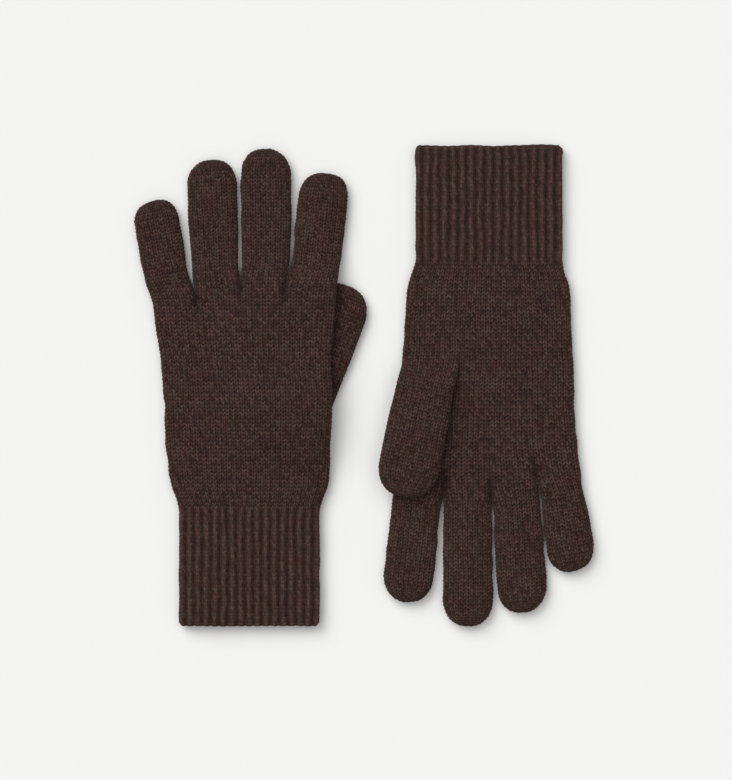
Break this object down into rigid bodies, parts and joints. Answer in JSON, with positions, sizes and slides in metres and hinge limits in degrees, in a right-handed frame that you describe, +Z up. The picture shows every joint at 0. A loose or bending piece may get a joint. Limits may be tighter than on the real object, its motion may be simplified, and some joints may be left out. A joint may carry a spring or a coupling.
{
  "type": "pair of knitted gloves",
  "caption": "Pair of full-fingered knitted gloves with long ribbed cuffs, lying flat, one back up and one palm up, whose digits and cuffs bend.",
  "frame": {"origin": "on the surface that the gloves lie on, under the middle of the pair's bounding box", "axes": "+Z up from that surface, +Y from the left glove's cuff to its fingertips, +X from the left glove to the right glove"},
  "size_m": [0.2404, 0.252, 0.0184],
  "materials": {
    "jersey_knit": "matte, softly hairy brown wool in plain stocking stitch",
    "rib_knit": "matte, softly hairy brown wool in single rib"
  },
  "bodies": {
    "left_hand": {"left_hand": "jersey_knit"},
    "left_cuff": {"left_cuff": "rib_knit"},
    "left_thumb": {"left_thumb": "jersey_knit"},
    "left_index_finger": {"left_index_finger": "jersey_knit"},
    "left_middle_finger": {"left_middle_finger": "jersey_knit"},
    "left_ring_finger": {"left_ring_finger": "jersey_knit"},
    "left_little_finger": {"left_little_finger": "jersey_knit"},
    "right_hand": {"right_hand": "jersey_knit"},
    "right_cuff": {"right_cuff": "rib_knit"},
    "right_thumb": {"right_thumb": "jersey_knit"},
    "right_index_finger": {"right_index_finger": "jersey_knit"},
    "right_middle_finger": {"right_middle_finger": "jersey_knit"},
    "right_ring_finger": {"right_ring_finger": "jersey_knit"},
    "right_little_finger": {"right_little_finger": "jersey_knit"}
  },
  "joints": [
    {"name": "left_wrist_bend", "type": "hinge", "parent": "left_hand", "child": "left_cuff", "pos_m": [-0.0603, -0.0625, 0.0045], "axis": [-1, 0, 0], "range_deg": [0, 50]},
    {"name": "left_thumb_swing", "type": "hinge", "parent": "left_hand", "child": "left_thumb", "pos_m": [-0.03199, -0.009, 0.0045], "axis": [0, 0, -1], "range_deg": [0, 15]},
    {"name": "left_index_finger_bend", "type": "hinge", "parent": "left_hand", "child": "left_index_finger", "pos_m": [-0.02584, 0.06, 0.0045], "axis": [0.9943, -0.1063, 0], "range_deg": [0, 60]},
    {"name": "left_middle_finger_bend", "type": "hinge", "parent": "left_hand", "child": "left_middle_finger", "pos_m": [-0.0517, 0.06, 0.0045], "axis": [1, 0, 0], "range_deg": [0, 60]},
    {"name": "left_ring_finger_bend", "type": "hinge", "parent": "left_hand", "child": "left_ring_finger", "pos_m": [-0.0772, 0.06, 0.0045], "axis": [0.9984, 0.0558, 0], "range_deg": [0, 60]},
    {"name": "left_little_finger_bend", "type": "hinge", "parent": "left_hand", "child": "left_little_finger", "pos_m": [-0.10199, 0.051, 0.0045], "axis": [0.9829, 0.1839, 0], "range_deg": [0, 60]},
    {"name": "right_wrist_bend", "type": "hinge", "parent": "right_hand", "child": "right_cuff", "pos_m": [0.0656, 0.0625, 0.0045], "axis": [1, 0, 0], "range_deg": [0, 50]},
    {"name": "right_thumb_swing", "type": "hinge", "parent": "right_hand", "child": "right_thumb", "pos_m": [0.03293, 0.007, 0.0092], "axis": [-0.9829, 0.1839, 0], "range_deg": [0, 70]},
    {"name": "right_index_finger_bend", "type": "hinge", "parent": "right_hand", "child": "right_index_finger", "pos_m": [0.02694, -0.064, 0.0045], "axis": [-0.9956, 0.0941, 0], "range_deg": [0, 75]},
    {"name": "right_middle_finger_bend", "type": "hinge", "parent": "right_hand", "child": "right_middle_finger", "pos_m": [0.0542, -0.064, 0.0045], "axis": [-1, 0, 0], "range_deg": [0, 75]},
    {"name": "right_ring_finger_bend", "type": "hinge", "parent": "right_hand", "child": "right_ring_finger", "pos_m": [0.08029, -0.064, 0.0045], "axis": [-0.998, -0.0628, 0], "range_deg": [0, 75]},
    {"name": "right_little_finger_bend", "type": "hinge", "parent": "right_hand", "child": "right_little_finger", "pos_m": [0.10328, -0.055, 0.0045], "axis": [-0.988, -0.1547, 0], "range_deg": [0, 75]},
    {"name": "right_glove_lift", "type": "slide", "parent": "left_hand", "child": "right_hand", "axis": [0, 0, 1], "range_m": [0, 0.06]}
  ]
}
